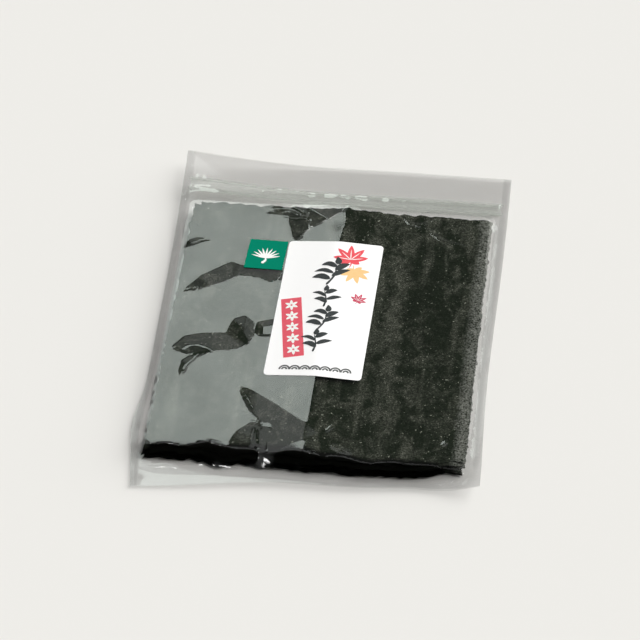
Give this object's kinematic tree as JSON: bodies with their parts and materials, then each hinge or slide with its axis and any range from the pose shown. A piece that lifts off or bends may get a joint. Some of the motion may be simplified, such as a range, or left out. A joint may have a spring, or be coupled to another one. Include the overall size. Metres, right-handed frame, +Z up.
{
  "type": "resealable bag of nori sheets",
  "caption": "Flat clear resealable bag holding a stack of dried seaweed (nori) sheets, with a zip header, a paper label and a small square sticker on its front.",
  "frame": {"origin": "on the table, under the middle of the bag's bounding box", "axes": "+X to the right across the bag, +Y towards the zip closure, +Z up out of the labelled front"},
  "size_m": [0.2184, 0.2804, 0.0124],
  "materials": {
    "film": "clear glossy polypropylene film over a near-black green stack of seaweed sheets",
    "seaweed": "dry pressed seaweed, near-black green with fine fibres, faint sheen",
    "label_paper": "white printed sticker paper, semi-matte",
    "sticker_paper": "green printed sticker paper, semi-matte"
  },
  "bodies": {
    "root": {"bag": "film", "label": "label_paper", "square_sticker": "sticker_paper"}
  },
  "joints": []
}
